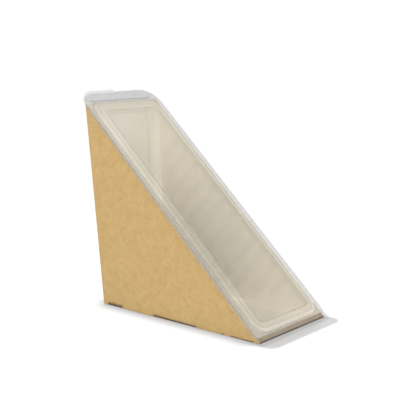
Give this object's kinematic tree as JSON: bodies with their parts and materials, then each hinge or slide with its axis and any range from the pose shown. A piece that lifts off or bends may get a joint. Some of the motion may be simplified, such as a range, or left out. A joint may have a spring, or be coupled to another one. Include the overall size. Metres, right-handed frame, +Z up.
{
  "type": "sandwich container",
  "caption": "Triangular wedge pack for a halved sandwich: folded kraft board sleeve with a clear formed tray and a hinged clear window lid over the sloping open face.",
  "frame": {"origin": "middle of the overall box, on the floor the pack stands on", "axes": "+Z up; X across the pack between the triangular side panels; the sloping window faces forward, toward -Y, and up; +Y points to the back panel"},
  "size_m": [0.0626, 0.1472, 0.1297],
  "materials": {
    "kraft_board": "matte uncoated kraft outside",
    "clear_sheet": "clear glossy thermoformed sheet"
  },
  "bodies": {
    "pack_body": {"kraft_sleeve": "kraft_board", "clear_tray": "clear_sheet"},
    "lid": {"clear_lid": "clear_sheet"}
  },
  "joints": [
    {"name": "lid_hinge", "type": "hinge", "parent": "pack_body", "child": "lid", "pos_m": [0, -0.06366, 0.00168], "axis": [1, 0, 0], "range_deg": [0, 120]}
  ]
}
